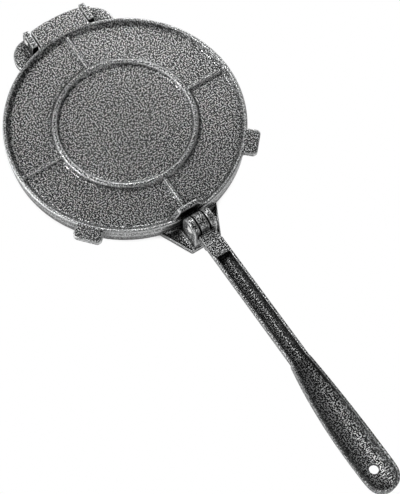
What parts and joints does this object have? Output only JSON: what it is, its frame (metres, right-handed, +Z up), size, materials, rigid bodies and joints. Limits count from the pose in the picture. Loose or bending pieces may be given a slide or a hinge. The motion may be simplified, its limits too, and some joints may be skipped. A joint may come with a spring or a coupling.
{
  "type": "tortilla press",
  "caption": "Cast hand press for flat breads: two round hinged plates and a long lever with a dished grip on a front clevis, which swings over and presses the lid's pad.",
  "frame": {"origin": "centre of the round base plate, on its flat bottom", "axes": "+X toward the lever laid out at the front, +Z up out of the lid"},
  "size_m": [0.4957, 0.206, 0.0392],
  "materials": {
    "hammertone": "grey hammertone enamel on cast iron",
    "steel": "plain steel"
  },
  "bodies": {
    "base": {"base_plate": "hammertone", "lever_pin": "steel", "lever_pin_ring": "steel", "hinge_pin": "steel", "hinge_pin_ring": "steel"},
    "lid": {"top_plate": "hammertone"},
    "lever": {"press_lever": "hammertone"}
  },
  "joints": [
    {"name": "lid_hinge", "type": "hinge", "parent": "base", "child": "lid", "pos_m": [-0.113, 0, 0.0132], "axis": [0, -1, 0], "range_deg": [0, 178]},
    {"name": "lever_pivot", "type": "hinge", "parent": "base", "child": "lever", "pos_m": [0.1159, 0, 0.0252], "axis": [0, -1, 0], "range_deg": [0, 175]}
  ]
}
